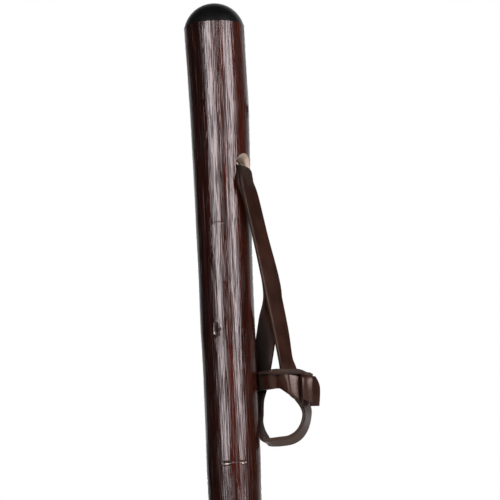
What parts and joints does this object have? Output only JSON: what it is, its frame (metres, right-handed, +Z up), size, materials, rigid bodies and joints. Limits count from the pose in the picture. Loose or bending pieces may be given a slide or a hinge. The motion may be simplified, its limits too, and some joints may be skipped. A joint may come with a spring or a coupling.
{
  "type": "hiking staff",
  "caption": "Natural wooden hiking staff, stained dark, with a black domed cap, a flat leather wrist strap in a countersunk cross hole, and a steel ferrule and spike under a rubber tip.",
  "frame": {"origin": "centre of the rubber tip's ground face", "axes": "+Z up the staff to the dome; +X to the side where the strap hangs; the picture looks along +Y"},
  "size_m": [0.0603, 0.034, 1.22],
  "materials": {
    "stained_wood": "dark brown stain under gloss varnish",
    "black_lacquer": "black lacquer, satin",
    "bare_wood": "bare cut wood, matt",
    "brown_leather": "dark brown, smooth, soft sheen",
    "steel": "turned, zinc plated",
    "brass": "polished",
    "black_rubber": "moulded, matt"
  },
  "bodies": {
    "staff": {"shaft": "stained_wood", "top_cap": "black_lacquer", "cap_dowel": "bare_wood", "strap_peg": "bare_wood", "strap_tails": "brown_leather", "strap_bend": "brown_leather", "ferrule": "steel", "ferrule_pins": "brass", "spike": "steel"},
    "strap": {"strap_loop": "brown_leather", "strap_hitch": "brown_leather"},
    "tip": {"rubber_tip": "black_rubber", "tip_washer": "steel"}
  },
  "joints": [
    {"name": "strap_swing", "type": "hinge", "parent": "staff", "child": "strap", "pos_m": [0.01294, -0.00924, 1.13], "axis": [-0.5878, -0.809, 0], "range_deg": [0, 110], "deforming": ["strap_bend"]},
    {"name": "tip_pull", "type": "slide", "parent": "staff", "child": "tip", "axis": [0, 0, -1], "range_m": [0, 0.04]}
  ]
}
